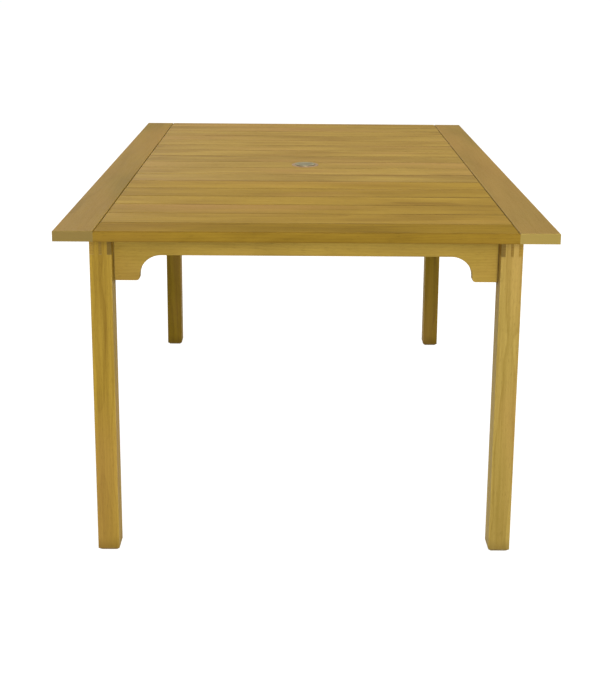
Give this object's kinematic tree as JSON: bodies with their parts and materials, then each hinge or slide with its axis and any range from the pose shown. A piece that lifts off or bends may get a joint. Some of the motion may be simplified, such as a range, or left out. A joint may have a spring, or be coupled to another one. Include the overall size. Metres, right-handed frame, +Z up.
{
  "type": "dining table",
  "caption": "Rectangular slatted wooden garden dining table with grooved side rails, square legs, arched end aprons and a capped parasol hole in the middle of the top.",
  "frame": {"origin": "on the floor under the middle of the table", "axes": "+Z up, +X to the right and +Y away from a viewer at the front end, so Y runs along the table"},
  "size_m": [1.067, 1.524, 0.7654],
  "materials": {
    "slat_wood": "oiled teak, flat-sawn, faint grain along the slats",
    "rail_wood": "oiled teak, grain along the rails",
    "leg_wood": "oiled teak, upright grain",
    "beam_wood": "oiled teak, dark end grain in the comb joints",
    "apron_wood": "oiled teak, grain along the apron",
    "bracket_wood": "oiled teak",
    "under_wood": "planed teak, little oil",
    "dowel_wood": "turned hardwood",
    "ring_metal": "turned, satin",
    "cap_plastic": "grey, finely textured",
    "steel": "zinc plated"
  },
  "bodies": {
    "table": {"slat_01": "slat_wood", "slat_02": "slat_wood", "slat_03": "slat_wood", "slat_04": "slat_wood", "slat_05": "slat_wood", "slat_06": "slat_wood", "slat_07": "slat_wood", "slat_08": "slat_wood", "slat_09": "slat_wood", "slat_10": "slat_wood", "slat_11": "slat_wood", "slat_12": "slat_wood", "slat_13": "slat_wood", "slat_14": "slat_wood", "slat_15": "slat_wood", "slat_16": "slat_wood", "slat_17": "slat_wood", "rail_left": "rail_wood", "rail_right": "rail_wood", "leg_front_left": "leg_wood", "leg_front_right": "leg_wood", "leg_back_left": "leg_wood", "leg_back_right": "leg_wood", "side_beam_left": "beam_wood", "side_beam_right": "beam_wood", "apron_front": "apron_wood", "apron_back": "apron_wood", "bracket_front_left": "bracket_wood", "bracket_front_right": "bracket_wood", "bracket_back_left": "bracket_wood", "bracket_back_right": "bracket_wood", "batten_left": "under_wood", "batten_right": "under_wood", "parasol_block": "under_wood", "parasol_ring": "ring_metal", "short_screws": "steel", "long_screws": "steel", "apron_bolts": "steel", "apron_washers": "steel", "barrel_nuts": "steel", "joint_dowels": "dowel_wood"},
    "cap": {"parasol_cap": "cap_plastic"}
  },
  "joints": [
    {"name": "cap_lift", "type": "slide", "parent": "table", "child": "cap", "axis": [0, 0, 1], "range_m": [0, 0.15]}
  ]
}
